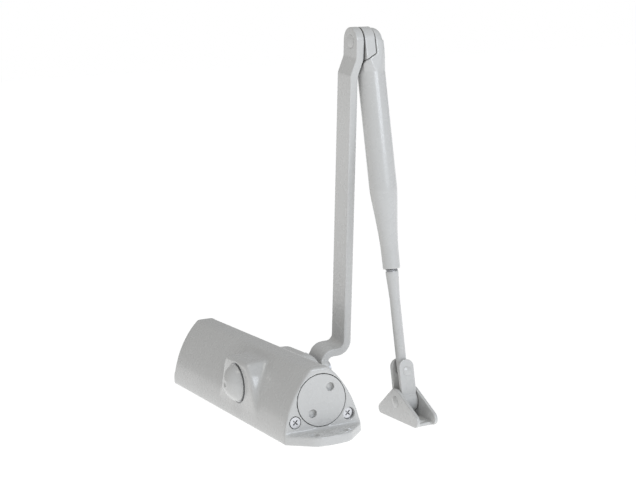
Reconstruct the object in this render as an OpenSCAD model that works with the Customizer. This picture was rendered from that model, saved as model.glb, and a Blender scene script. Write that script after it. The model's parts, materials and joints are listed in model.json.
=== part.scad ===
// Surface-mounted door closer with a regular folding arm, in millimetres.
//
// A rack-and-pinion closer. The housing lies on its flat mounting face, at z = 0, with the
// piston bore along X and the spindle along Y. A main arm stands on the spindle, on the +Y
// side. It folds at the elbow into a forearm, an adjusting rod, a swivel link and the shoe.
// The origin is the centre of the mounting face.

/* [Body] */
// Length of the housing between its end faces
body_length = 180; // [176:1:200]
// Width of the mounting face
body_width = 50; // [49:0.5:54]
// Height of the housing
body_height = 42.5; // [42:0.5:46]
// Radius of each arched flank
flank_radius = 63.5; // [62:0.5:75]
// How far each foot stands out past its end face
foot_length = 15; // [14:0.5:18]
// Thickness of the feet
foot_thickness = 5.5; // [4:0.5:7]

/* [Piston and spindle] */
// Diameter of the piston bore
bore_diameter = 28; // [27.5:0.5:29]
// Height of the bore and the spindle above the mounting face
bore_height = 23; // [22.5:0.25:23.5]
// Distance of the spindle from the middle of the housing
spindle_offset = 21; // [16:1:24]
// Turn of the spindle from closed to fully open, in degrees
opening_angle = 165; // [90:5:170]

/* [Main arm] */
// Distance from the spindle to the elbow
arm_length = 208; // [190:1:240]
// Width of the arm
arm_width = 17; // [15:0.5:18]
// Thickness of the arm
arm_thickness = 5; // [4.5:0.25:5.5]
// Lean of the arm from upright, towards +X, in degrees
arm_lean = 8.4; // [0:0.2:12]

/* [Forearm, rod and shoe] */
// Length of the forearm tube from the elbow to the end of its neck
forearm_length = 139; // [130:1:150]
// Diameter of the forearm tube
forearm_diameter = 17; // [16.5:0.25:18]
// Distance from the elbow to the shoe's pin
arm_reach = 219.5; // [218:0.5:235]
// Length of the shoe
shoe_length = 48; // [44:1:56]
// Height of the shoe's pin above the shoe's base
shoe_pin_height = 11.2; // [11:0.1:13]

/* [Hidden] */
$fn = 96;

PAINT = "gainsboro";
STEEL = "silver";
ZINC = "lightgray";
BRASS = "goldenrod";
RUBBER = "dimgray";

eps = 0.01;
// Radial clearance of a part that turns or slides in another
running = 0.05;

// Housing
half_length = body_length / 2;
half_width = body_width / 2;
// The flank arcs are centred a little below the mounting face, and meet the upright base edge here
flank_centre_z = -4;
flank_start_z = 5;
flank_centre_y = half_width - sqrt(pow(flank_radius, 2) - pow(flank_start_z - flank_centre_z, 2));
foot_nose = 20;
foot_corner_r = 12;
foot_fillet = 2;
fixing_hole_x = half_length + 7.5;
fixing_spacing_y = 19;
fixing_hole_r = 2.75;
boss_half_width = 24.5;
boss_top_z = 38;
boss_base = 31.7;
boss_shoulder = 20.9;
boss_shoulder_z = 30.5;
boss_top = 15.8;
boss_edge_r = 2.25;
boss_arm_edge_r = 8;

// Bore and end plugs, as distances inwards from an end face
bore_r = bore_diameter / 2;
plug_flange = 3;
plug_flange_r = bore_r + 1.5;
plug_gap = 0.25;
plug_seal_depth = 4.5;
plug_length = 11;
plug_thread_r = bore_r + 1;
plug_neck_r = bore_r + 0.2;
plug_seal_r = 0.75;
spanner_hole_r = 2.5;
spanner_pitch_r = 9.4;
spanner_depth = 2.5;
spanner_angle = 50;
stop_outer_r = 12;
stop_inner_r = 8;
stop_slot = 4;

// Valve screws: the closing valve at -Y and the latching valve at +Y
valve_y = 17.5;
valve_z = 12.2;
valve_bore_r = 3 + running;
valve_pocket_r = 3.65;
valve_pocket_depth = 4.2;
valve_head_r = 3.3;
valve_head = 2;
valve_bore_depth = 24;
passage_r = 1.5;
chamber_port_x = half_length - 15;
closing_port_x = half_length - 50;
latching_port_x = half_length - 34;
port_length = 9;
port_angle = atan2(valve_y, bore_height - valve_z);

// Spindle bearings, from the centre plane outwards
bearing_r = 11;
bearing_start = bore_r + 0.3;
gland_start = 19;
gland_r = 12;
gland_flange_r = 10.5;
gland_end = boss_half_width + 1;
journal_r = 8;
seal_outer_r = 9.6;
seal_start = 20.3;
seal_length = 2.2;

// Rack and pinion. The pinion's teeth are shifted outwards, so that ten of them mesh cleanly.
pinion_teeth = 10;
tooth_module = 1.5;
pressure_angle = 20;
profile_shift = 0.4;
backlash = 0.14;
pitch_r = tooth_module * pinion_teeth / 2;
base_r = pitch_r * cos(pressure_angle);
pinion_tip_r = 9.4;
pinion_root_r = 6.1;
pinion_half_length = 8;
rack_pitch = PI * tooth_module;
rack_line = pitch_r + profile_shift * tooth_module;
rack_tip = 6.75;
rack_root = 9.9;
rack_half_width = 7.5;
piston_travel = pitch_r * opening_angle * PI / 180;
rack_first = -2;
rack_last = 6;

// Piston, along X in the housing's frame
piston_r = bore_r - running;
window_start = spindle_offset - 11;
window_end = spindle_offset + piston_travel + 11;
piston_start = window_start - 11;
piston_end = half_length - 17;
window_floor = -10.2;
spring_pocket_r = 12.3;
spring_pocket = 3;
check_bore_r = 5;
check_bore_depth = 10;
check_seat = 3;
check_hole_r = 1.6;
check_ball_r = 2.5;
check_clip = 1;
check_clip_hole_r = 1.5;

// Closing spring
wire_r = 1.75;
coil_r = 10.25;
coil_turns = 10;
closed_pitch = 3.6;
spring_from = -half_length + plug_length + 0.1;
spring_to = piston_start + spring_pocket - 0.1;
rings_per_turn = 14;
wire_sides = 6;

// Arm, from the spindle's axis upwards and from the centre plane outwards
square_across = 9;
spindle_end = 33;
spare_end = 29;
hub_r = 12.4;
hub_face = 29.5;
arm_plane = 45.5;
elbow_plane = 49.1;
arm_end_r = arm_width / 2;
bend_r = 4;
bend_height = 15.6;
joggle_from = arm_length - 19.5;
joggle_to = arm_length - 9.5;
screw_r = 2.5;
screw_head_r = 5;
screw_depth = 15;
screw_head = 4.6;
washer_r = 6.5;
washer_thickness = 1.5;

// Elbow
elbow_x = spindle_offset + arm_length * sin(arm_lean);
elbow_z = bore_height + arm_length * cos(arm_lean);
rivet_r = 4;
rivet_head_r = 4.6;
rivet_seat = 0.25;
elbow_washer_r = 6.6;
elbow_washer_thickness = 0.8;
elbow_gap = 0.1;
spacer_r = 8.4;
spacer_neck_r = 5.2;
spacer_length = 6.6;

// Forearm tube
forearm_plane = 61.2;
forearm_r = forearm_diameter / 2;
sheet = 1.6;
elbow_half_width = 7.3;
elbow_corner_r = 3;
elbow_end_fillet = 5.2;
elbow_end_drop = 0.9;
flat_length = 8;
flat_end = 20;
taper_start = forearm_length - 48;
neck_r = 5.3;
neck_hole_r = 4.2;
nut_length = 12;
// The mouth's edge climbs from its foot on the -Y side to its head at the outer cheek
notch_foot_y = -9.5;
notch_foot_z = -14.6;
notch_head_y = 0.9;
notch_head_z = -9;
// Below its heel the edge falls steeply to its toe, so that it clears the arm's offset as it swings
notch_heel_y = -6.2;
notch_heel_z = notch_head_z + (notch_heel_y - notch_head_y)
    * (notch_head_z - notch_foot_z) / (notch_head_y - notch_foot_y);
notch_toe_z = -19;

// Adjusting rod
rod_thread_r = 4;
rod_r = 3.2;
rod_top = forearm_length - 78;
thread_end = forearm_length + 3;
rod_taper = 15;
link_height = 18.2;
rod_eye = arm_reach - link_height;
rod_rivet_r = 2;
rod_rivet_head_r = 2.9;
rod_rivet_head = 0.7;

// Swivel link
link_half_width = 5;
link_plate = 2.4;
link_gap = 7;
link_half_depth = link_gap / 2 + link_plate;
link_eye_r = 7;
link_top = 20.4;
shoe_rivet_r = 3;
shoe_rivet_head_r = 3.8;
shoe_rivet_head = 1;

// Shoe. The forearm leans so that the shoe's base lies at z = 0.
shoe_sheet = 2;
shoe_half_gap = 5.1;
shoe_half_width = shoe_half_gap + shoe_sheet;
shoe_rear = 22;
shoe_top_r = 8;
shoe_hole_r = 2.3;
shoe_hole_rear = -15;
shoe_hole_front = 18;
forearm_lean = acos((elbow_z - shoe_pin_height) / arm_reach);
pin_x = elbow_x + arm_reach * sin(forearm_lean);

// A cylinder along X from x = a to x = b
module rod_x(r, a, b) {
    translate([a, 0, 0]) rotate([0, 90, 0]) cylinder(h = b - a, r = r);
}

// A cylinder along Y from y = a to y = b
module rod_y(r, a, b) {
    translate([0, a, 0]) rotate([-90, 0, 0]) cylinder(h = b - a, r = r);
}

// A ring along Y
module ring_y(outer, inner, a, b) {
    difference() {
        rod_y(outer, a, b);
        rod_y(inner, a - eps, b + eps);
    }
}

// A ring of round section about X
module seal_x(mean_r, section_r) {
    rotate([0, 90, 0]) rotate_extrude() translate([mean_r, 0]) circle(section_r);
}

// A low domed rivet head about +Z, on z = 0
module rivet_head(r, height) {
    sphere_r = (r * r + height * height) / (2 * height);
    intersection() {
        translate([0, 0, height - sphere_r]) sphere(sphere_r);
        cylinder(h = height, r = r);
    }
}

module on_bore() {
    translate([0, 0, bore_height]) children();
}

module on_spindle() {
    translate([spindle_offset, 0, bore_height]) children();
}

// The arm's frame: the spindle's axis is Y, and the arm runs up Z
module arm_frame() {
    on_spindle() rotate([0, arm_lean, 0]) children();
}

// The forearm's frame: the elbow is the origin, and the forearm runs down Z
module forearm_frame() {
    translate([elbow_x, forearm_plane, elbow_z]) rotate([0, -forearm_lean, 0]) children();
}

// The swivel link's frame: the shoe's pin is the origin, and the link runs up Z
module link_frame() {
    forearm_frame() translate([0, 0, -arm_reach]) children();
}

module shoe_frame() {
    translate([pin_x, forearm_plane, 0]) children();
}

// Solid of the arched body between its end faces
module arch() {
    intersection() {
        translate([-half_length, -half_width, 0]) cube([body_length, body_width, body_height]);
        intersection_for(side = [-1, 1])
            translate([0, side * flank_centre_y, flank_centre_z])
                rod_x(flank_radius, -half_length - 1, half_length + 1);
    }
}

// Boss across the body at the spindle: leaning sides with a shoulder, a small edge radius on
// the cap's side and a large one on the arm's side
module boss() {
    near = boss_half_width - boss_edge_r;
    far = boss_half_width - boss_arm_edge_r;
    intersection() {
        translate([spindle_offset, boss_half_width + 1, 0]) rotate([90, 0, 0])
            linear_extrude(2 * boss_half_width + 2)
                polygon([[-boss_base, 0], [boss_base, 0], [boss_shoulder, boss_shoulder_z],
                    [boss_top, boss_top_z], [-boss_top, boss_top_z],
                    [-boss_shoulder, boss_shoulder_z]]);
        translate([-half_length, 0, 0]) rotate([90, 0, 90]) linear_extrude(body_length) {
            polygon([[-boss_half_width, 0], [boss_half_width, 0],
                [boss_half_width, boss_top_z - boss_arm_edge_r], [far, boss_top_z],
                [-near, boss_top_z], [-boss_half_width, boss_top_z - boss_edge_r]]);
            translate([-near, boss_top_z - boss_edge_r]) circle(boss_edge_r);
            translate([far, boss_top_z - boss_arm_edge_r]) circle(boss_arm_edge_r);
        }
    }
}

// One foot at the +X end, with its rounded nose corners and the fillet up to the end face
module foot() {
    nose = foot_nose / 2;
    tangent = foot_corner_r * tan(22.5);
    tip = half_length + foot_length;
    linear_extrude(foot_thickness) {
        polygon([[half_length - 5, -half_width], [half_length, -half_width],
            [tip - tangent * cos(45), -nose - tangent * sin(45)], [tip, tangent - nose],
            [tip, nose - tangent], [tip - tangent * cos(45), nose + tangent * sin(45)],
            [half_length, half_width], [half_length - 5, half_width]]);
        for (side = [-1, 1])
            translate([tip - foot_corner_r, side * (nose - tangent)]) circle(foot_corner_r);
    }
    difference() {
        translate([half_length - 1, foot_fillet - half_width, foot_thickness - 1])
            cube([foot_fillet + 1, body_width - 2 * foot_fillet, foot_fillet + 1]);
        translate([half_length + foot_fillet, 0, foot_thickness + foot_fillet])
            rod_y(foot_fillet, -half_width, half_width);
    }
}

// Bore, thread and seat for the plug in the +X end
module plug_bore() {
    on_bore() {
        rod_x(plug_thread_r, half_length - plug_length - 1, half_length);
        rod_x(plug_flange_r + plug_gap, half_length - plug_seal_depth, half_length + 1);
    }
}

// Pocket, bore, passage and two ports of one valve
module valve_bores(side, port_x) {
    translate([0, side * valve_y, valve_z]) {
        rod_x(valve_pocket_r, half_length - valve_pocket_depth, half_length + 1);
        rod_x(valve_bore_r, half_length - valve_bore_depth, half_length);
        rod_x(passage_r, port_x, half_length - valve_bore_depth + eps);
        for (x = [port_x, chamber_port_x])
            translate([x, 0, 0]) rotate([side * port_angle, 0, 0]) cylinder(h = port_length, r = passage_r);
    }
}

module fixing_holes() {
    for (x = [-fixing_hole_x, fixing_hole_x], side = [-1, 1])
        translate([x, side * fixing_spacing_y / 2, -1])
            cylinder(h = foot_thickness + 2, r = fixing_hole_r);
}

module housing() {
    color(PAINT) difference() {
        union() {
            arch();
            boss();
            foot();
            mirror([1, 0, 0]) foot();
        }
        on_bore() rod_x(bore_r, -half_length - 1, half_length + 1);
        plug_bore();
        mirror([1, 0, 0]) plug_bore();
        on_spindle() {
            rod_y(bearing_r, -boss_half_width - 1, boss_half_width + 1);
            for (side = [0, 180])
                rotate([0, 0, side]) rod_y(gland_r, gland_start, boss_half_width + 1);
        }
        valve_bores(-1, closing_port_x);
        valve_bores(1, latching_port_x);
        fixing_holes();
    }
}

// End plug at the +X end: thread, seal neck, flange and two spanner holes
module end_plug() {
    inner = half_length - plug_length;
    color(PAINT) on_bore() difference() {
        union() {
            rod_x(plug_thread_r, inner, half_length - plug_seal_depth);
            rod_x(plug_neck_r, half_length - plug_seal_depth - 1, half_length - plug_flange);
            rod_x(plug_flange_r, half_length - plug_flange, half_length);
        }
        for (turn = [0, 180])
            rotate([turn + spanner_angle, 0, 0]) translate([0, spanner_pitch_r, 0])
                rod_x(spanner_hole_r, half_length - spanner_depth, half_length + 1);
    }
}

// The piston rests on this plug's slotted stop ring while the arm is closed
module valve_end_plug() {
    inner = half_length - plug_length;
    end_plug();
    color(PAINT) on_bore() difference() {
        rod_x(stop_outer_r, piston_end + 0.1, inner + eps);
        rod_x(stop_inner_r, piston_end - 1, inner + 1);
        translate([piston_end - 1, -stop_outer_r - 1, -stop_slot / 2])
            cube([stop_slot + 1, 2 * stop_outer_r + 2, stop_slot]);
    }
}

module spring_end_plug() {
    mirror([1, 0, 0]) end_plug();
}

module plug_seals() {
    color(RUBBER) for (end = [-1, 1])
        translate([end * (half_length - (plug_seal_depth + plug_flange) / 2), 0, bore_height])
            seal_x(plug_neck_r + plug_seal_r, plug_seal_r - 0.02);
}

// Needle screw, with a cross recess in its head, set back from the end face
module valve_screw(side, set_back) {
    face = half_length - set_back;
    body_end = half_length - 16;
    tip_start = half_length - 21.5;
    tip_end = half_length - 26;
    groove = half_length - 11;
    slot = 0.75;
    slot_length = 3.8;
    slot_depth = 1.4;
    color(ZINC) translate([0, side * valve_y, valve_z]) {
        difference() {
            union() {
                rod_x(valve_head_r, face - valve_head, face);
                rod_x(valve_bore_r - running, body_end, face - valve_head + eps);
                rod_x(2.2, tip_start, body_end + eps);
                translate([tip_end, 0, 0]) rotate([0, 90, 0])
                    cylinder(h = tip_start - tip_end + eps, r1 = 0.6, r2 = 2.2);
            }
            for (turn = [45, 135])
                rotate([turn, 0, 0])
                    translate([face - slot_depth, -slot_length / 2, -slot / 2])
                        cube([slot_depth + 1, slot_length, slot]);
            difference() {
                rod_x(valve_bore_r + 1, groove, groove + 1.3);
                rod_x(2, groove - 1, groove + 2.3);
            }
        }
    }
}

module valve_seal(side) {
    color(RUBBER) translate([half_length - 10.35, side * valve_y, valve_z]) seal_x(2.5, 0.48);
}

module closing_valve() {
    valve_screw(-1, 0.4);
}

module closing_valve_seal() {
    valve_seal(-1);
}

module latching_valve() {
    valve_screw(1, 2);
}

module latching_valve_seal() {
    valve_seal(1);
}

// A piece on each side of the pinion, made once on the +Y side
module both_sides() {
    on_spindle() for (turn = [0, 180]) rotate([0, 0, turn]) children();
}

module spindle_bearings() {
    color(BRASS) both_sides() ring_y(bearing_r, journal_r + running, bearing_start, gland_start);
}

module gland_nuts() {
    spanner_r = 1;
    color(ZINC) both_sides() difference() {
        union() {
            rod_y(gland_r, gland_start, boss_half_width);
            rod_y(gland_flange_r, boss_half_width - 1, gland_end);
        }
        rod_y(journal_r + running, gland_start - 1, gland_end + 1);
        rod_y(seal_outer_r, seal_start, seal_start + seal_length);
        for (x = [-9.2, 9.2]) translate([x, 0, 0]) rod_y(spanner_r, boss_half_width - 1, gland_end + 1);
    }
}

module spindle_seals() {
    color(RUBBER) both_sides()
        ring_y(seal_outer_r, journal_r + running, seal_start, seal_start + seal_length);
}

// Hollow domed cap over the spare end of the spindle, on the gland nut's flange
module spindle_cap() {
    cap_r = 11.6;
    face = 7.8;
    rim = 0.8;
    dome_r = 12.8;
    dome_centre = rim - sqrt(dome_r * dome_r - cap_r * cap_r);
    color(PAINT) on_spindle() rotate([90, 0, 0]) translate([0, 0, boss_half_width + 0.05]) {
        difference() {
            intersection() {
                cylinder(h = face, r = cap_r);
                translate([0, 0, dome_centre]) sphere(dome_r);
            }
            translate([0, 0, -1]) cylinder(h = 2, r = gland_flange_r + 0.05);
            cylinder(h = face - 2.8, r = 7);
            translate([0, 0, face - 0.6]) cylinder(h = 2, r = 1.5);
        }
    }
}

// Height along the helix after a number of turns: the first and last turns lie closed
function coil_height(turn) =
    let (length = spring_to - spring_from - 2 * wire_r,
        open_pitch = (length - 2 * closed_pitch) / (coil_turns - 2))
    turn < 1 ? closed_pitch * turn :
    turn > coil_turns - 1 ? length - closed_pitch * (coil_turns - turn) :
    closed_pitch + open_pitch * (turn - 1);

function wire_ring(turn) =
    [for (side = [0 : wire_sides - 1])
        let (around = 360 * side / wire_sides, r = coil_r + wire_r * cos(around))
        [spring_from + wire_r + coil_height(turn) + wire_r * sin(around),
            r * cos(360 * turn), r * sin(360 * turn)]];

// A wire of round section swept along the helix
module closing_spring() {
    rings = coil_turns * rings_per_turn;
    points = [for (ring = [0 : rings]) each wire_ring(ring / rings_per_turn)];
    walls = [for (ring = [0 : rings - 1], side = [0 : wire_sides - 1])
        let (a = ring * wire_sides, b = a + wire_sides, next = (side + 1) % wire_sides)
        [a + side, a + next, b + next, b + side]];
    start_cap = [for (side = [wire_sides - 1 : -1 : 0]) side];
    end_cap = [for (side = [0 : wire_sides - 1]) rings * wire_sides + side];
    color(STEEL) on_bore() polyhedron(points, concat(walls, [start_cap, end_cap]));
}

// Involute of an angle, in degrees
function involute(angle) = tan(angle) * 180 / PI - angle;

// Half the angle that a pinion tooth spans at radius r
function tooth_half_angle(r) =
    let (width = tooth_module * (PI / 2 + 2 * profile_shift * tan(pressure_angle)) - backlash)
    width / (2 * pitch_r) * 180 / PI + involute(pressure_angle)
        - involute(acos(min(1, base_r / r)));

// Outline of the pinion, with one tooth centred on +Y of the drawing
function pinion_outline() =
    let (radii = [pinion_root_r, base_r, 7.6, 8.3, 8.9, pinion_tip_r])
    [for (tooth = [0 : pinion_teeth - 1], flank = [-1, 1], step = [0 : len(radii) - 1])
        let (r = flank < 0 ? radii[step] : radii[len(radii) - 1 - step],
            angle = 90 - 360 * tooth / pinion_teeth - flank * tooth_half_angle(r))
        [r * cos(angle), r * sin(angle)]];

module pinion() {
    translate([0, pinion_half_length, 0]) rotate([90, 0, 0])
        linear_extrude(2 * pinion_half_length) polygon(pinion_outline());
}

module square_end(from, to) {
    translate([-square_across / 2, from, -square_across / 2])
        cube([square_across, to - from, square_across]);
}

module spindle() {
    color(STEEL) on_spindle() difference() {
        union() {
            pinion();
            rod_y(pinion_root_r, -pinion_half_length - 1, pinion_half_length + 1);
            rod_y(journal_r, pinion_half_length, gland_end);
            rod_y(journal_r, -gland_end, -pinion_half_length);
            rotate([0, arm_lean, 0]) {
                square_end(gland_end - 1, spindle_end);
                square_end(-spare_end, 1 - gland_end);
            }
        }
        rod_y(screw_r, spindle_end - screw_depth - 2, spindle_end + 1);
    }
}

// One 90 degree bend of the strip, as a quarter ring
module strip_bend(centre, from_angle) {
    outer = bend_r + arm_thickness;
    translate(centre) rotate([0, 0, from_angle]) difference() {
        intersection() {
            circle(outer);
            square(outer);
        }
        circle(bend_r);
    }
}

// Side view of the arm: Y across the page and Z up it
module arm_side_view() {
    first_bend = [hub_face + arm_thickness + bend_r, bend_height - bend_r - arm_thickness];
    second_bend = [arm_plane - bend_r, bend_height + bend_r];
    translate([hub_face, -hub_r]) square([arm_thickness, first_bend[1] + hub_r]);
    strip_bend(first_bend, 90);
    translate([first_bend[0], bend_height - arm_thickness])
        square([second_bend[0] - first_bend[0], arm_thickness]);
    strip_bend(second_bend, -90);
    polygon([[arm_plane, second_bend[1]], [arm_plane + arm_thickness, second_bend[1]],
        [arm_plane + arm_thickness, joggle_from - 1], [elbow_plane + arm_thickness, joggle_to - 1],
        [elbow_plane + arm_thickness, arm_length + arm_end_r],
        [elbow_plane, arm_length + arm_end_r], [elbow_plane, joggle_to], [arm_plane, joggle_from]]);
}

// Front view of the arm: hub, strip and rounded end
module arm_front_view() {
    circle(hub_r);
    translate([-arm_end_r, 0]) square([arm_width, arm_length]);
    translate([0, arm_length]) circle(arm_end_r);
}

module main_arm() {
    color(PAINT) arm_frame() difference() {
        intersection() {
            translate([0, elbow_plane + 2 * arm_thickness, 0]) rotate([90, 0, 0])
                linear_extrude(elbow_plane) arm_front_view();
            translate([-hub_r - 1, 0, 0]) rotate([90, 0, 90])
                linear_extrude(2 * hub_r + 2) arm_side_view();
        }
        square_end(hub_face - 1, hub_face + arm_thickness + 1);
        translate([0, 0, arm_length]) rod_y(rivet_r, elbow_plane - 1, elbow_plane + arm_thickness + 1);
    }
}

module arm_washer() {
    face = hub_face + arm_thickness;
    split = 0.8;
    color(ZINC) arm_frame() difference() {
        ring_y(washer_r, screw_r + 0.2, face, face + washer_thickness);
        translate([-split / 2, face - 1, 0]) cube([split, washer_thickness + 2, washer_r + 1]);
    }
}

// Pan-head screw with a cross recess
module arm_screw() {
    under_head = hub_face + arm_thickness + washer_thickness;
    dome = 1.6;
    slot = 1.2;
    color(ZINC) arm_frame() difference() {
        union() {
            rod_y(screw_r, spindle_end - screw_depth, under_head + 1);
            rod_y(screw_head_r, under_head, under_head + screw_head - dome);
            translate([0, under_head + screw_head - dome, 0]) rotate([-90, 0, 0])
                rivet_head(screw_head_r, dome);
        }
        for (turn = [0, 90])
            rotate([0, turn, 0]) translate([-3, under_head + 2, -slot / 2]) cube([6, screw_head, slot]);
    }
}

// Shank through the arm, the washer, the spacer and the forearm's outer cheek
module elbow_rivet() {
    outer_face = forearm_plane + elbow_half_width - rivet_seat + elbow_gap;
    color(PAINT) translate([elbow_x, 0, elbow_z]) {
        rod_y(rivet_r, elbow_plane, outer_face);
        translate([0, elbow_plane, 0]) rotate([90, 0, 0]) rivet_head(rivet_head_r, 0.3);
        translate([0, outer_face, 0]) rotate([-90, 0, 0]) rivet_head(rivet_head_r, 0.9);
    }
}

module piston() {
    color(STEEL) on_bore() {
        difference() {
            rod_x(piston_r, piston_start, piston_end);
            translate([window_start, -bore_r - 1, window_floor])
                cube([window_end - window_start, 2 * bore_r + 2, rack_root - window_floor]);
            rod_x(spring_pocket_r, piston_start - 1, piston_start + spring_pocket);
            rod_x(check_bore_r, piston_end - check_bore_depth, piston_end + 1);
            rod_x(check_hole_r + 0.4, window_end - 1, piston_end);
        }
        rack_teeth();
    }
}

// Rack teeth under the window's roof, with a gap above the spindle at rest
module rack_teeth() {
    slope = tan(pressure_angle);
    middle = rack_pitch / 4 - backlash / 2;
    half_tip = middle - (rack_line - rack_tip) * slope;
    half_root = middle + (rack_root - rack_line) * slope;
    for (tooth = [rack_first : rack_last])
        translate([spindle_offset + (tooth + 0.5) * rack_pitch, rack_half_width, 0])
            rotate([90, 0, 0]) linear_extrude(2 * rack_half_width)
                polygon([[-half_tip, rack_tip], [half_tip, rack_tip], [half_root, rack_root],
                    [half_root, rack_root + 0.5], [-half_root, rack_root + 0.5],
                    [-half_root, rack_root]]);
}

module check_valve_seat() {
    start = piston_end - check_bore_depth;
    color(BRASS) on_bore() difference() {
        rod_x(check_bore_r, start, start + check_seat);
        rod_x(check_hole_r, start - 1, start + check_seat + 1);
    }
}

module check_ball() {
    seat = piston_end - check_bore_depth + check_seat;
    rise = sqrt(pow(check_ball_r, 2) - pow(check_hole_r, 2)) + 0.05;
    color(STEEL) translate([seat + rise, 0, bore_height]) sphere(check_ball_r);
}

module check_valve_clip() {
    end = piston_end - 0.5;
    color(STEEL) on_bore() difference() {
        rod_x(check_bore_r, end - check_clip, end);
        rod_x(check_clip_hole_r, end - check_clip - 1, end + 1);
    }
}

module elbow_washer() {
    face = elbow_plane + arm_thickness + elbow_gap;
    color(ZINC) translate([elbow_x, 0, elbow_z])
        ring_y(elbow_washer_r, rivet_r + running, face, face + elbow_washer_thickness);
}

// Front view of the spacer: drum with a tail as wide as the forearm
module spacer_front_view() {
    circle(spacer_r);
    translate([-spacer_r, notch_foot_z]) square([2 * spacer_r, -notch_foot_z]);
}

// Bush between the main arm and the forearm's outer cheek. Its tail reaches down to the
// forearm's mouth, and fits against its edge with a small gap.
module elbow_spacer() {
    near = elbow_plane + arm_thickness + elbow_gap + elbow_washer_thickness - forearm_plane;
    far = near + spacer_length;
    cheek = elbow_half_width - sheet;
    gap = 0.45;
    slope = (notch_head_z - notch_foot_z) / (notch_head_y - notch_foot_y);
    near_z = notch_head_z + gap + slope * (near - notch_head_y);
    far_z = notch_head_z + gap + slope * (far - notch_head_y);
    color(PAINT) forearm_frame() difference() {
        union() {
            intersection() {
                translate([0, forearm_r, 0]) rotate([90, 0, 0]) linear_extrude(2 * forearm_r)
                    spacer_front_view();
                translate([-spacer_r - 1, 0, 0]) rotate([90, 0, 90])
                    linear_extrude(2 * spacer_r + 2)
                        polygon([[near, near_z], [far, far_z], [far, spacer_r + 1],
                            [near, spacer_r + 1]]);
            }
            rod_y(spacer_neck_r, far - 1, cheek);
        }
        rod_y(rivet_r + running, near - 1, cheek + 1);
    }
}

// Section of the flattened elbow end
module elbow_section(r, side, corner) {
    translate([corner - r, -side]) square([2 * (r - corner), 2 * side]);
    translate([-r, corner - side]) square([2 * r, 2 * (side - corner)]);
    for (x = [corner - r, r - corner], y = [corner - side, side - corner])
        translate([x, y]) circle(corner);
}

// Round end of the elbow, with a rounded edge to each cheek
module elbow_end(r, side, fillet) {
    translate([0, 0, -elbow_end_drop]) rotate([90, 0, 0]) rotate_extrude() intersection() {
        union() {
            translate([0, fillet - side]) square([r, 2 * (side - fillet)]);
            translate([0, -side]) square([r - fillet, 2 * side]);
            for (y = [fillet - side, side - fillet]) translate([r - fillet, y]) circle(fillet);
        }
        translate([0, -side]) square([r, 2 * side]);
    }
}

// Outside of the forearm, or its inside when thinned by the sheet
module forearm_solid(inset) {
    r = forearm_r - inset;
    side = elbow_half_width - inset;
    corner = elbow_corner_r - inset;
    fillet = inset > 0 ? 0.6 : elbow_end_fillet;
    neck = inset > 0 ? neck_hole_r : neck_r;
    end = forearm_length + (inset > 0 ? 1 : 0);
    intersection() {
        translate([0, 0, -flat_end - 2]) linear_extrude(flat_end + 2 + r)
            elbow_section(r, side, corner);
        rotate_extrude()
            polygon([[0, r], [r + 1.6, r], [r + 1.6, -6], [r - 0.3, -flat_end - 2],
                [0, -flat_end - 2]]);
        union() {
            elbow_end(r, side, fillet);
            translate([-r - 1, -side - 1, -flat_end - 3])
                cube([2 * r + 2, 2 * side + 2, flat_end + 3 - elbow_end_drop]);
        }
    }
    rotate_extrude()
        polygon([[0, -flat_length], [side, -flat_length], [r, -flat_end], [r, -taper_start],
            [r - 0.5, -taper_start - 6], [r - 1.7, -taper_start - 17],
            [neck + 0.7, -taper_start - 26], [neck + 0.2, -taper_start - 34], [neck, -end],
            [0, -end]]);
}

// Pressed tube, cut away at the elbow where the arm folds past it
module forearm() {
    color(PAINT) forearm_frame() difference() {
        forearm_solid(0);
        forearm_solid(sheet);
        rotate([90, 0, 90]) translate([0, 0, -forearm_r - 1]) linear_extrude(forearm_diameter + 2)
            polygon([[notch_foot_y, notch_toe_z], [notch_heel_y, notch_heel_z],
                [notch_head_y, notch_head_z], [notch_head_y, forearm_r + 1],
                [notch_foot_y, forearm_r + 1]]);
        rod_y(rivet_r + running, 0, forearm_r);
        rod_y(rivet_head_r + 0.6, elbow_half_width - rivet_seat, forearm_r);
    }
}

module rod_nut() {
    color(ZINC) forearm_frame() translate([0, 0, -taper_start]) difference() {
        cylinder(h = nut_length, r = forearm_r - sheet);
        translate([0, 0, -1]) cylinder(h = nut_length + 2, r = rod_thread_r + running);
    }
}

// Thread, tapered shank and cross-drilled round end
module adjusting_rod() {
    taper_end = thread_end + rod_taper;
    color(PAINT) forearm_frame() difference() {
        union() {
            translate([0, 0, -thread_end]) cylinder(h = thread_end - rod_top, r = rod_thread_r);
            translate([0, 0, -taper_end]) cylinder(h = rod_taper, r1 = rod_r, r2 = rod_thread_r);
            translate([0, 0, -rod_eye]) cylinder(h = rod_eye - taper_end, r = rod_r);
            translate([0, 0, -rod_eye]) sphere(rod_r);
        }
        translate([0, 0, -rod_eye]) rod_x(rod_rivet_r + running, -rod_r - 1, rod_r + 1);
    }
}

// Two plates that straddle the rod's end, joined by the eye for the shoe's rivet
module swivel_link() {
    color(PAINT) link_frame() difference() {
        union() {
            for (plate_x = [-link_half_depth, link_gap / 2])
                translate([plate_x, 0, 0]) rotate([90, 0, 90]) linear_extrude(link_plate) {
                    translate([-link_half_width, 0]) square([2 * link_half_width, link_top]);
                    translate([0, link_top]) circle(link_half_width);
                }
            rod_y(link_eye_r, -link_half_width, link_half_width);
        }
        rod_y(shoe_rivet_r + running, -link_half_width - 1, link_half_width + 1);
        translate([0, 0, link_height]) rod_x(rod_rivet_r, -link_half_depth - 1, link_half_depth + 1);
    }
}

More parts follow.
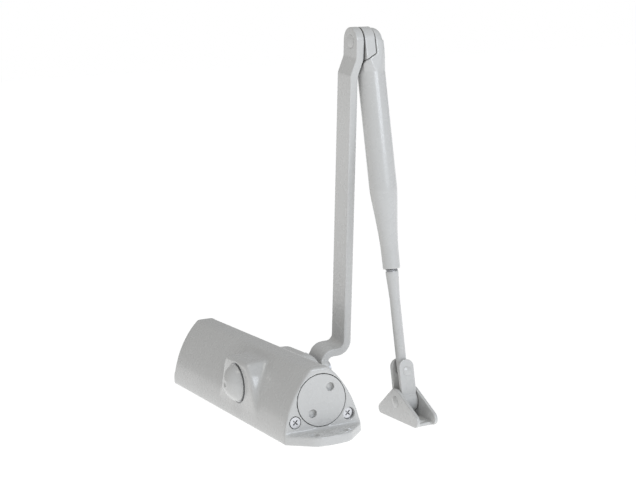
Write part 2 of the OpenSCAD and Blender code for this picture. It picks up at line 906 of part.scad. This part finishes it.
module rod_rivet() {
    color(PAINT) link_frame() translate([0, 0, link_height]) {
        rod_x(rod_rivet_r, -link_half_depth, link_half_depth);
        for (turn = [0, 180])
            rotate([0, 0, turn]) translate([link_half_depth, 0, 0]) rotate([0, 90, 0])
                rivet_head(rod_rivet_head_r, rod_rivet_head);
    }
}

// Outline of one cheek, seen along Y, with the pin at x = 0
module cheek_outline() {
    rear = 3;
    front = 4;
    hull() {
        translate([0, shoe_pin_height]) circle(shoe_top_r, $fn = 48);
        translate([rear - shoe_rear, rear]) circle(rear, $fn = 32);
        translate([shoe_length - shoe_rear - front, front]) circle(front, $fn = 32);
        translate([rear - shoe_rear, 0]) square([shoe_length - rear - front, 1]);
    }
}

module shoe() {
    color(PAINT) shoe_frame() difference() {
        union() {
            for (y = [-shoe_half_width, shoe_half_gap])
                translate([0, y + shoe_sheet, 0]) rotate([90, 0, 0])
                    linear_extrude(shoe_sheet) cheek_outline();
            translate([3 - shoe_rear, -shoe_half_width + eps, 0])
                cube([shoe_length - 7, 2 * shoe_half_width - 2 * eps, shoe_sheet]);
        }
        for (x = [shoe_hole_rear, shoe_hole_front])
            translate([x, 0, -1]) cylinder(h = shoe_sheet + 2, r = shoe_hole_r);
        translate([0, 0, shoe_pin_height]) rod_y(shoe_rivet_r, -shoe_half_width - 1, shoe_half_width + 1);
    }
}

module shoe_rivet() {
    color(PAINT) shoe_frame() translate([0, 0, shoe_pin_height]) {
        rod_y(shoe_rivet_r, -shoe_half_width, shoe_half_width);
        for (turn = [0, 180])
            rotate([0, 0, turn]) translate([0, shoe_half_width, 0]) rotate([-90, 0, 0])
                rivet_head(shoe_rivet_head_r, shoe_rivet_head);
    }
}

housing();
valve_end_plug();
spring_end_plug();
plug_seals();
closing_valve();
closing_valve_seal();
latching_valve();
latching_valve_seal();
spindle_bearings();
gland_nuts();
spindle_seals();
spindle_cap();
closing_spring();
spindle();
main_arm();
arm_washer();
arm_screw();
elbow_rivet();
piston();
check_valve_seat();
check_ball();
check_valve_clip();
elbow_washer();
elbow_spacer();
forearm();
rod_nut();
adjusting_rod();
swivel_link();
rod_rivet();
shoe();
shoe_rivet();
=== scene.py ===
"""Looks of a surface-mounted door closer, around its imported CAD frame."""

import json
import math

import bmesh
import bpy
from mathutils import Matrix, Vector

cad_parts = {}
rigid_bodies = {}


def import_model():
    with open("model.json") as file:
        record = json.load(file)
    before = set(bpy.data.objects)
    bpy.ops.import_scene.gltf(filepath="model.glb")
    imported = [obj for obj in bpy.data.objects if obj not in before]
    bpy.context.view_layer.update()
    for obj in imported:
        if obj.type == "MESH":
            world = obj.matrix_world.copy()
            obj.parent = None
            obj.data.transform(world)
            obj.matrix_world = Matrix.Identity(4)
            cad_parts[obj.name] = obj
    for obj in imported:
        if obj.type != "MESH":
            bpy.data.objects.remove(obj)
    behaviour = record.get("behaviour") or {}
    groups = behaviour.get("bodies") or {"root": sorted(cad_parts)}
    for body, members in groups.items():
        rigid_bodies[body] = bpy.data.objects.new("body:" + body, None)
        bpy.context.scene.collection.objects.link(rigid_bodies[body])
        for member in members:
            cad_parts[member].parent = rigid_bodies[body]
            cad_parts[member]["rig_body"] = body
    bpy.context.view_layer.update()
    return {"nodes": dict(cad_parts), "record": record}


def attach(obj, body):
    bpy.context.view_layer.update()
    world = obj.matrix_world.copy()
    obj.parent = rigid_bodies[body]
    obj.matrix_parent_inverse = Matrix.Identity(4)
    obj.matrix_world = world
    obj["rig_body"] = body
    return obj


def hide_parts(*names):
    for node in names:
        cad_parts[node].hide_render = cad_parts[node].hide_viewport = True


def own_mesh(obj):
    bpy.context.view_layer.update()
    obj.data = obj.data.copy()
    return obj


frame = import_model()
NODES = frame["nodes"]
MM = 0.001

# ---------------------------------------------------------------- materials


class Graph:
    """A material's node tree, with short calls for the nodes used here."""

    def __init__(self, name):
        self.material = bpy.data.materials.new(name)
        self.material.use_nodes = True
        self.tree = self.material.node_tree
        self.shader = self.tree.nodes["Principled BSDF"]
        self.place = self.add("ShaderNodeTexCoord").outputs["Object"]

    def add(self, kind, **settings):
        node = self.tree.nodes.new(kind)
        for key, value in settings.items():
            setattr(node, key, value)
        return node

    def link(self, out, socket):
        self.tree.links.new(out, socket)

    def put(self, socket, value):
        """Links an output to a socket, or sets the socket's own value."""
        if isinstance(value, bpy.types.NodeSocket):
            self.link(value, socket)
        else:
            socket.default_value = value

    def math(self, operation, a, b=0.0):
        node = self.add("ShaderNodeMath", operation=operation)
        self.put(node.inputs[0], a)
        self.put(node.inputs[1], b)
        return node.outputs[0]

    def noise(self, scale, detail=2.0, rough=0.5):
        node = self.add("ShaderNodeTexNoise")
        self.link(self.place, node.inputs["Vector"])
        node.inputs["Scale"].default_value = scale
        node.inputs["Detail"].default_value = detail
        node.inputs["Roughness"].default_value = rough
        return node.outputs["Fac"]

    def ramp(self, value, low, high, to_low=0.0, to_high=1.0):
        """Maps low..high to to_low..to_high, and holds those ends beyond."""
        node = self.add("ShaderNodeMapRange")
        node.clamp = True
        self.link(value, node.inputs["Value"])
        for key, number in (
            ("From Min", low),
            ("From Max", high),
            ("To Min", to_low),
            ("To Max", to_high),
        ):
            node.inputs[key].default_value = number
        return node.outputs["Result"]

    def mix(self, share, a, b):
        """Colour a, with a share of colour b."""
        node = self.add("ShaderNodeMix", data_type="RGBA")
        self.put(node.inputs["Factor"], share)
        for socket, value in ((node.inputs[6], a), (node.inputs[7], b)):
            if isinstance(value, tuple):
                value = (*value, 1.0)
            self.put(socket, value)
        return node.outputs[2]

    def bump(self, height, distance, strength=1.0):
        node = self.add("ShaderNodeBump")
        node.inputs["Distance"].default_value = distance
        node.inputs["Strength"].default_value = strength
        self.link(height, node.inputs["Height"])
        return node.outputs["Normal"]

    def crevices(self, distance):
        """Painted shade mask from ambient occlusion: 1 in a crevice, 0 in the open."""
        occlusion = self.add("ShaderNodeAmbientOcclusion", samples=6)
        occlusion.inputs["Distance"].default_value = distance
        return self.ramp(occlusion.outputs["AO"], 0.75, 0.25)

    def crevice_shaded(self, tone, distance, share, shade_colour):
        """A tone darkened toward a near-black colour in the crevices, as painted shade."""
        painted_shade = self.math("MULTIPLY", self.crevices(distance), share)
        return self.mix(painted_shade, tone, shade_colour)

    def set(self, **values):
        """Sets the shader's sockets by name, and gives the finished material."""
        for key, value in values.items():
            self.put(self.shader.inputs[key.replace("_", " ")], value)
        return self.material


def shade(colour, share):
    return tuple(share * c for c in colour)


def paint(name, colour, texture, depth):
    """Semi-gloss stoved paint, with a faint orange peel and painted shade darkening its
    corners.
    """
    g = Graph(name)
    cloud = g.ramp(g.noise(38, 3, 0.5), 0.35, 0.65)
    speck = g.ramp(g.noise(3100, 1), 0.76, 0.82, 0.0, 0.02)
    tone = g.mix(cloud, shade(colour, 0.965), colour)
    tone = g.mix(speck, tone, shade(colour, 0.75))
    # Painted shade: the grey darkens in the corners that ambient occlusion finds.
    tone = g.crevice_shaded(tone, 2.2 * MM, 0.55, (0.11, 0.108, 0.10))
    peel = g.bump(g.noise(texture, 2, 0.5), depth)
    rough = g.ramp(g.noise(160, 3, 0.6), 0.3, 0.7, 0.24, 0.30)
    return g.set(
        Base_Color=tone,
        Roughness=rough,
        Normal=peel,
        Coat_Weight=0.35,
        Coat_Roughness=0.12,
    )


def plated(name, colour, smoothest, roughest):
    """Bright plate, ground steel or bronze, with a fine grain and cloudy dull patches."""
    g = Graph(name)
    grain = g.noise(1500, 3, 0.6)
    cloud = g.noise(130, 3, 0.6)
    tone = g.mix(g.ramp(cloud, 0.35, 0.7), shade(colour, 0.80), colour)
    # Painted shade: the metal's tone darkens in the corners that ambient occlusion finds.
    tone = g.crevice_shaded(tone, 2 * MM, 0.6, (0.10, 0.095, 0.09))
    both = g.math("ADD", grain, cloud)
    return g.set(
        Base_Color=tone,
        Metallic=1.0,
        Roughness=g.ramp(both, 0.7, 1.3, smoothest, roughest),
        Normal=g.bump(grain, 0.01 * MM, 0.8),
    )


def rubber(name):
    """Black oil-proof rubber with a patchy bloom."""
    g = Graph(name)
    bloom = g.ramp(g.noise(400, 4, 0.6), 0.4, 0.75)
    return g.set(
        Base_Color=g.mix(bloom, (0.012, 0.012, 0.013), (0.035, 0.035, 0.036)),
        Roughness=g.ramp(bloom, 0, 1, 0.45, 0.65),
        Normal=g.bump(g.noise(2200, 2), 0.01 * MM, 0.6),
    )


GREY = (0.58, 0.582, 0.575)
MATERIALS = {
    "paint": paint("paint", GREY, 380.0, 0.003 * MM),
    "casting": paint("casting", GREY, 260.0, 0.003 * MM),
    "steel": plated("steel", (0.56, 0.56, 0.57), 0.25, 0.42),
    "zinc": plated("zinc", (0.74, 0.75, 0.78), 0.22, 0.38),
    "bronze": plated("bronze", (0.62, 0.45, 0.24), 0.35, 0.5),
    "rubber": rubber("rubber"),
}
SLOTS = {s["node"]: s["material_slot"] for s in frame["record"]["subparts"]}
for name, node in NODES.items():
    node.data.materials.clear()
    node.data.materials.append(MATERIALS[SLOTS[name]])

# ------------------------------------------------------------------ pieces

JOINTS = {j["name"]: j for j in frame["record"]["behaviour"]["joints"]}
SPINDLE = Vector(JOINTS["spindle_turn"]["pos_m"])
VALVES = [Vector(JOINTS[n + "_valve_turn"]["pos_m"]) for n in ("closing", "latching")]
ELBOW = Vector(JOINTS["elbow"]["pos_m"])
ROD_AXIS = Vector(JOINTS["rod_adjust"]["axis"]).normalized()

# Distances on the casting. The valves turn about points inside their end face.
END_FACE = VALVES[0].x + 10 * MM
PLUG_MARGIN = 16.5 * MM
VALVE_MARGIN = 5 * MM
CAP_MARGIN, CAP_MARGIN_END = 13.5 * MM, 15.5 * MM
BOSS_SIDE = 20 * MM
FOOT_TOP = 8.5 * MM
BASE_EDGE = 5 * MM
CASTING_RELAX_ROUNDS = 36

# The thread, as distances from the elbow along the rod, and its radii
THREAD_FROM, THREAD_TO = 61 * MM, 141 * MM
THREAD_CREST, THREAD_ROOT, THREAD_PITCH = 3.97 * MM, 3.4 * MM, 1.25 * MM


def carried(piece, node_name):
    """A new piece takes its CAD node's place, body and finish."""
    bpy.context.scene.collection.objects.link(piece)
    piece.data.shade_smooth()
    weighted = piece.modifiers.new("normals", "WEIGHTED_NORMAL")
    weighted.keep_sharp = True
    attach(piece, NODES[node_name]["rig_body"])
    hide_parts(node_name)
    return piece


def applied(mesh, *modifiers):
    """A mesh with modifiers worked into it. Each is a kind and its settings."""
    holder = bpy.data.objects.new("holder", mesh)
    bpy.context.scene.collection.objects.link(holder)
    for kind, settings in modifiers:
        modifier = holder.modifiers.new(kind, kind)
        for key, value in settings.items():
            setattr(modifier, key, value)
    graph = bpy.context.evaluated_depsgraph_get()
    result = bpy.data.meshes.new_from_object(holder.evaluated_get(graph))
    bpy.data.objects.remove(holder)
    bpy.data.meshes.remove(mesh)
    return result


def relax(mesh, weight, rounds):
    """Smooths a mesh for as many rounds as each vertex's weight asks for, from 0 to 1."""
    bm = bmesh.new()
    bm.from_mesh(mesh)
    weights = {v: weight(v.co) for v in bm.verts}
    for turn in range(rounds):
        verts = [v for v, share in weights.items() if share * rounds > turn]
        bmesh.ops.smooth_vert(
            bm, verts=verts, factor=0.5, use_axis_x=True, use_axis_y=True, use_axis_z=True
        )
    bm.to_mesh(mesh)
    bm.free()


def softened(node_name, voxel, passes, keep, cut=None, weight=None):
    """A copy of a CAD node with every edge softened, as paint softens a casting or pressing.

    The voxel size sets the finest detail, the smoothing passes set how round the edges get,
    and keep is the share of triangles left at the end. cut changes the copy first, and weight
    says where more smoothing goes.
    """
    mesh = NODES[node_name].data.copy()
    if cut:
        cut(mesh)
    mesh = applied(
        mesh,
        ("REMESH", {"mode": "VOXEL", "voxel_size": voxel}),
        ("SMOOTH", {"factor": 0.5, "iterations": passes}),
    )
    if weight:
        relax(mesh, weight, CASTING_RELAX_ROUNDS)
    mesh = applied(mesh, ("DECIMATE", {"ratio": keep}))
    mesh.materials.clear()
    mesh.materials.append(MATERIALS[SLOTS[node_name]])
    return carried(bpy.data.objects.new(node_name + "_skin", mesh), node_name)


def rounded(node_name, width):
    """A copy of a CAD node with its flat faces joined up and its sharp edges rounded."""
    flat_angle, sharp_angle, shading_angle = map(math.radians, (0.4, 28, 40))
    mesh = NODES[node_name].data.copy()
    bm = bmesh.new()
    bm.from_mesh(mesh)
    bmesh.ops.remove_doubles(bm, verts=bm.verts, dist=0.002 * MM)
    bmesh.ops.dissolve_limit(bm, angle_limit=flat_angle, verts=bm.verts, edges=bm.edges)
    sharp = [
        e
        for e in bm.edges
        if len(e.link_faces) == 2 and e.calc_face_angle(0.0) > sharp_angle
    ]
    bmesh.ops.bevel(
        bm,
        geom=sharp,
        offset=width,
        offset_type="OFFSET",
        segments=3,
        profile=0.5,
        affect="EDGES",
        clamp_overlap=True,
    )
    bm.to_mesh(mesh)
    bm.free()
    mesh.set_sharp_from_angle(angle=shading_angle)
    return carried(bpy.data.objects.new(node_name + "_skin", mesh), node_name)


def casting_softness(place):
    """How much the casting is smoothed: fully on its flanks and boss, less along its edges."""
    x, y, z = place
    from_bore = math.hypot(y, z - SPINDLE.z)
    from_spindle = math.hypot(x - SPINDLE.x, z - SPINDLE.z)
    from_valve = min(math.hypot(y - v.y, z - v.z) for v in VALVES)
    if from_bore < PLUG_MARGIN:
        return 0.0
    if abs(x) > END_FACE - 4 * MM:
        on_body = z > FOOT_TOP and abs(x) < END_FACE + 0.5 * MM
        return 0.35 if on_body and from_valve > VALVE_MARGIN else 0.0
    if from_spindle < CAP_MARGIN_END and abs(y) > BOSS_SIDE:
        return max(0.0, (from_spindle - CAP_MARGIN) / (CAP_MARGIN_END - CAP_MARGIN))
    return min(1.0, z / BASE_EDGE)


def along_rod(distance):
    return ELBOW + ROD_AXIS * distance


def shank_only(mesh):
    """Cuts the plain thread cylinder off a copy of the rod, and closes the cut."""
    bm = bmesh.new()
    bm.from_mesh(mesh)
    bmesh.ops.remove_doubles(bm, verts=bm.verts, dist=0.001 * MM)
    cut = bmesh.ops.bisect_plane(
        bm,
        geom=[*bm.verts, *bm.edges, *bm.faces],
        plane_co=along_rod(THREAD_TO - 0.5 * MM),
        plane_no=-ROD_AXIS,
        clear_outer=True,
    )
    rim = [g for g in cut["geom_cut"] if isinstance(g, bmesh.types.BMEdge)]
    bmesh.ops.edgeloop_fill(bm, edges=rim)
    bm.to_mesh(mesh)
    bm.free()


def rod_thread():
    """The rod's thread, as one closed skin whose radius follows a single-start helix."""
    sides, rings_per_turn = 32, 8
    flank_slope, root_flat = 2.6, 0.15
    across = ROD_AXIS.cross(Vector((0, 1, 0))).normalized()
    other = ROD_AXIS.cross(across)
    length = THREAD_TO - THREAD_FROM
    rings = int(length / THREAD_PITCH * rings_per_turn)
    bm = bmesh.new()
    rows = []
    for ring in range(rings + 1):
        distance = length * ring / rings
        ends = min(1.0, distance / THREAD_PITCH, (length - distance) / THREAD_PITCH)
        row = []
        for side in range(sides):
            share = (distance / THREAD_PITCH + side / sides) % 1.0
            height = flank_slope * abs(share - 0.5) - root_flat
            height = min(1.0, max(0.0, height)) * ends
            radius = THREAD_ROOT + (THREAD_CREST - THREAD_ROOT) * height
            angle = 2 * math.pi * side / sides
            spoke = across * math.cos(angle) + other * math.sin(angle)
            row.append(bm.verts.new(along_rod(THREAD_FROM + distance) + spoke * radius))
        rows.append(row)
    for low, high in zip(rows, rows[1:]):
        for side in range(sides):
            after = (side + 1) % sides
            bm.faces.new((low[side], low[after], high[after], high[side]))
    bm.faces.new(reversed(rows[0]))
    bm.faces.new(rows[-1])
    bmesh.ops.recalc_face_normals(bm, faces=bm.faces)
    mesh = bpy.data.meshes.new("rod_thread")
    bm.to_mesh(mesh)
    bm.free()
    mesh.materials.append(MATERIALS["zinc"])
    piece = carried(bpy.data.objects.new("rod_thread", mesh), "adjusting_rod")


softened("housing", 0.6 * MM, 4, 0.6, weight=casting_softness)
softened("adjusting_rod", 0.3 * MM, 3, 0.5, cut=shank_only)
rod_thread()
for node_name, voxel, passes, keep in (
    ("valve_end_plug", 0.3, 3, 0.4),
    ("spring_end_plug", 0.3, 3, 0.4),
    ("spindle_cap", 0.22, 2, 0.5),
    ("main_arm", 0.4, 4, 0.4),
    ("elbow_spacer", 0.22, 4, 0.5),
    ("elbow_rivet", 0.2, 3, 0.5),
    ("forearm", 0.4, 2, 0.5),
    ("swivel_link", 0.25, 4, 0.5),
    ("rod_rivet", 0.12, 3, 0.5),
    ("shoe", 0.3, 3, 0.5),
    ("shoe_rivet", 0.14, 3, 0.5),
):
    softened(node_name, voxel * MM, passes, keep)

for node_name, width in (
    ("arm_washer", 0.15 * MM),
    ("arm_screw", 0.12 * MM),
    ("closing_valve", 0.12 * MM),
    ("latching_valve", 0.12 * MM),
):
    rounded(node_name, width)


def spring_coils():
    """The closing spring, as a copy of its CAD node's mesh."""
    coils = bpy.data.objects.new("spring_coils", NODES["closing_spring"].data.copy())
    carried(coils, "closing_spring")
    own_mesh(coils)


spring_coils()

# --------------------------------------------------------- stage and camera


def area_light(name, place, target, size, power, colour=(1, 1, 1)):
    data = bpy.data.lights.new(name, "AREA")
    data.shape = "RECTANGLE"
    data.size, data.size_y = size
    data.energy = power
    data.color = colour
    lamp = bpy.data.objects.new(name, data)
    bpy.context.scene.collection.objects.link(lamp)
    lamp.location = place
    direction = Vector(target) - Vector(place)
    lamp.rotation_euler = direction.to_track_quat("-Z", "Y").to_euler()


# The arm hangs below the mounting face at some poses, so the floor is out of its reach
FLOOR_Z = -450 * MM


def make_floor():
    """A plain pale floor, which glows a little to stay white."""
    bm = bmesh.new()
    bmesh.ops.create_grid(bm, x_segments=8, y_segments=8, size=30)
    mesh = bpy.data.meshes.new("floor")
    bm.to_mesh(mesh)
    bm.free()
    floor = bpy.data.objects.new("floor", mesh)
    bpy.context.scene.collection.objects.link(floor)
    floor.location.z = FLOOR_Z
    g = Graph("floor_paper")
    tone = g.mix(g.noise(30, 3), (0.84, 0.84, 0.84), (0.86, 0.86, 0.86))
    mesh.materials.append(
        g.set(Base_Color=tone, Roughness=0.9, Emission_Color=(1, 1, 1, 1))
    )
    g.shader.inputs["Emission Strength"].default_value = 0.68


make_floor()
CENTRE = (0.02, 0.02, 0.1)
area_light("key", (1.5, 0.35, 0.75), CENTRE, (0.8, 0.7), 9.8, (0.86, 0.92, 1.0))
area_light("top", (0.1, -0.5, 1.7), CENTRE, (0.6, 1.0), 5.2, (1.0, 0.985, 0.94))


def make_world(lit, seen):
    """A white surround, which lights the part at one level and is seen at another."""
    world = bpy.data.worlds.new("studio")
    bpy.context.scene.world = world
    world.use_nodes = True
    tree = world.node_tree
    back = tree.nodes["Background"]
    back.inputs["Color"].default_value = (1, 1, 1, 1)
    path = tree.nodes.new("ShaderNodeLightPath")
    level = tree.nodes.new("ShaderNodeMapRange")
    tree.links.new(path.outputs["Is Camera Ray"], level.inputs["Value"])
    level.inputs["To Min"].default_value = lit
    level.inputs["To Max"].default_value = seen
    tree.links.new(level.outputs["Result"], back.inputs["Strength"])


make_world(lit=0.38, seen=1.0)

AZIMUTH, ELEVATION, ROLL = map(math.radians, (63.914, 8.268, -2.689))
EYE = (0.8037, -0.3469, 0.2335)
FOCAL_PIXELS, IMAGE_WIDTH, SENSOR = 1399.9, 636, 36.0


def make_camera():
    """A camera at EYE, turned by its azimuth, elevation and roll. Azimuth 0 looks along +Y."""
    data = bpy.data.cameras.new("camera")
    data.sensor_fit = "HORIZONTAL"
    data.sensor_width = SENSOR
    data.lens = FOCAL_PIXELS / IMAGE_WIDTH * SENSOR
    data.clip_start = 0.01
    data.clip_end = 100
    camera = bpy.data.objects.new("camera", data)
    bpy.context.scene.collection.objects.link(camera)
    sa, ca = math.sin(AZIMUTH), math.cos(AZIMUTH)
    se, ce = math.sin(ELEVATION), math.cos(ELEVATION)
    ahead = Vector((-sa * ce, ca * ce, -se))
    right = Vector((ca, sa, 0))
    up = right.cross(ahead)
    sr, cr = math.sin(ROLL), math.cos(ROLL)
    right, up = cr * right + sr * up, cr * up - sr * right
    turn = Matrix((right, up, -ahead)).transposed().to_4x4()
    camera.matrix_world = Matrix.Translation(EYE) @ turn
    bpy.context.scene.camera = camera


make_camera()
bpy.context.scene.view_settings.view_transform = "Standard"
